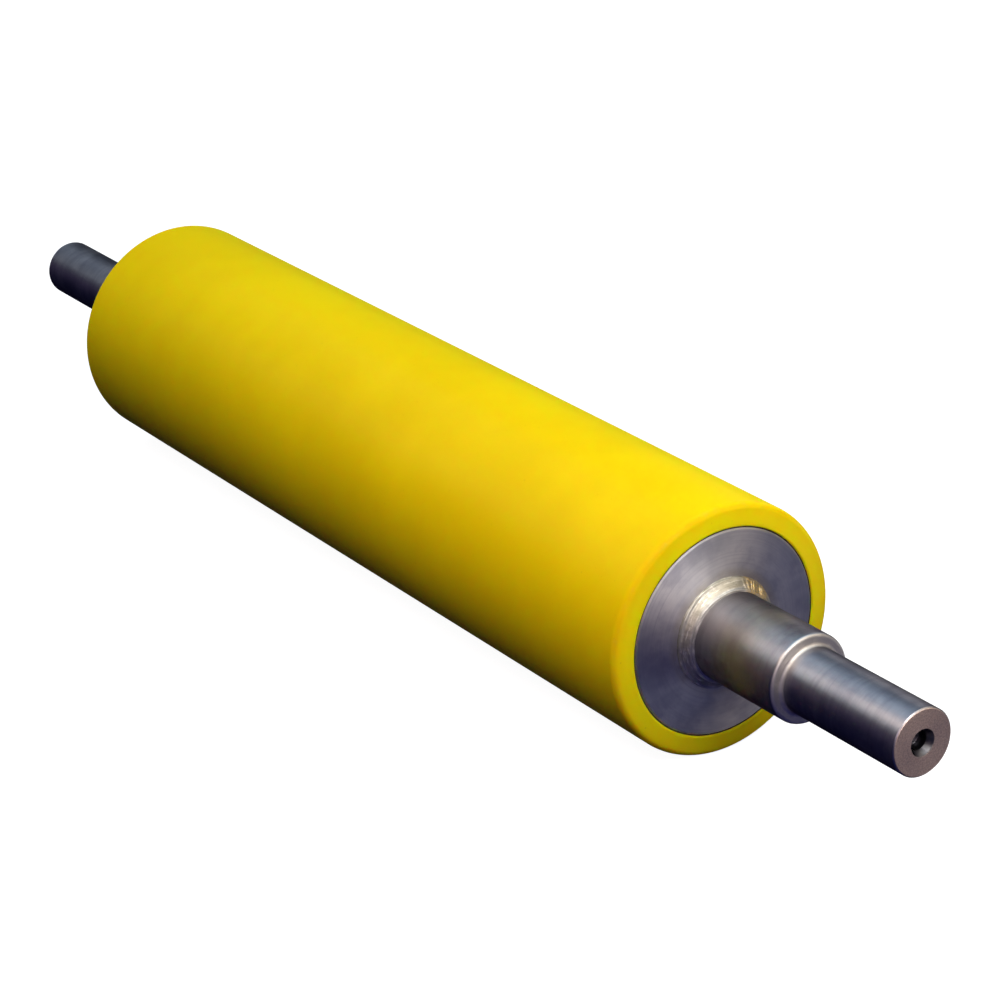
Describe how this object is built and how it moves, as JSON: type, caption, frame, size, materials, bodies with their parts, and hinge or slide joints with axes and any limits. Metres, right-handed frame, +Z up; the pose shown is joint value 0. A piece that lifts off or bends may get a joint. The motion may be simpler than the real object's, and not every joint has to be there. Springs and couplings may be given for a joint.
{
  "type": "conveyor roller",
  "caption": "Live-shaft conveyor roller with a cast polyurethane cover bonded to a welded steel core, shouldered round bearing journals and tapped centre holes in the shaft ends.",
  "frame": {"origin": "the middle of the roller, on its axis", "axes": "+Y along the roller's axis towards the rear end, +Z up, and the front end, which the picture shows, at -Y"},
  "size_m": [0.1717, 1.1, 0.1716],
  "materials": {
    "polyurethane": "satin",
    "bonding_agent": "matte",
    "faced_steel": "satin",
    "turned_steel": "satin",
    "weld_metal": "satin"
  },
  "bodies": {
    "root": {"polyurethane_cover": "polyurethane", "bond_coat": "bonding_agent", "core_tube": "faced_steel", "front_end_disc": "faced_steel", "rear_end_disc": "faced_steel", "front_rim_weld": "faced_steel", "rear_rim_weld": "faced_steel", "through_shaft": "turned_steel", "front_shaft_weld": "weld_metal", "rear_shaft_weld": "weld_metal", "front_inner_weld": "weld_metal", "rear_inner_weld": "weld_metal"}
  },
  "joints": []
}
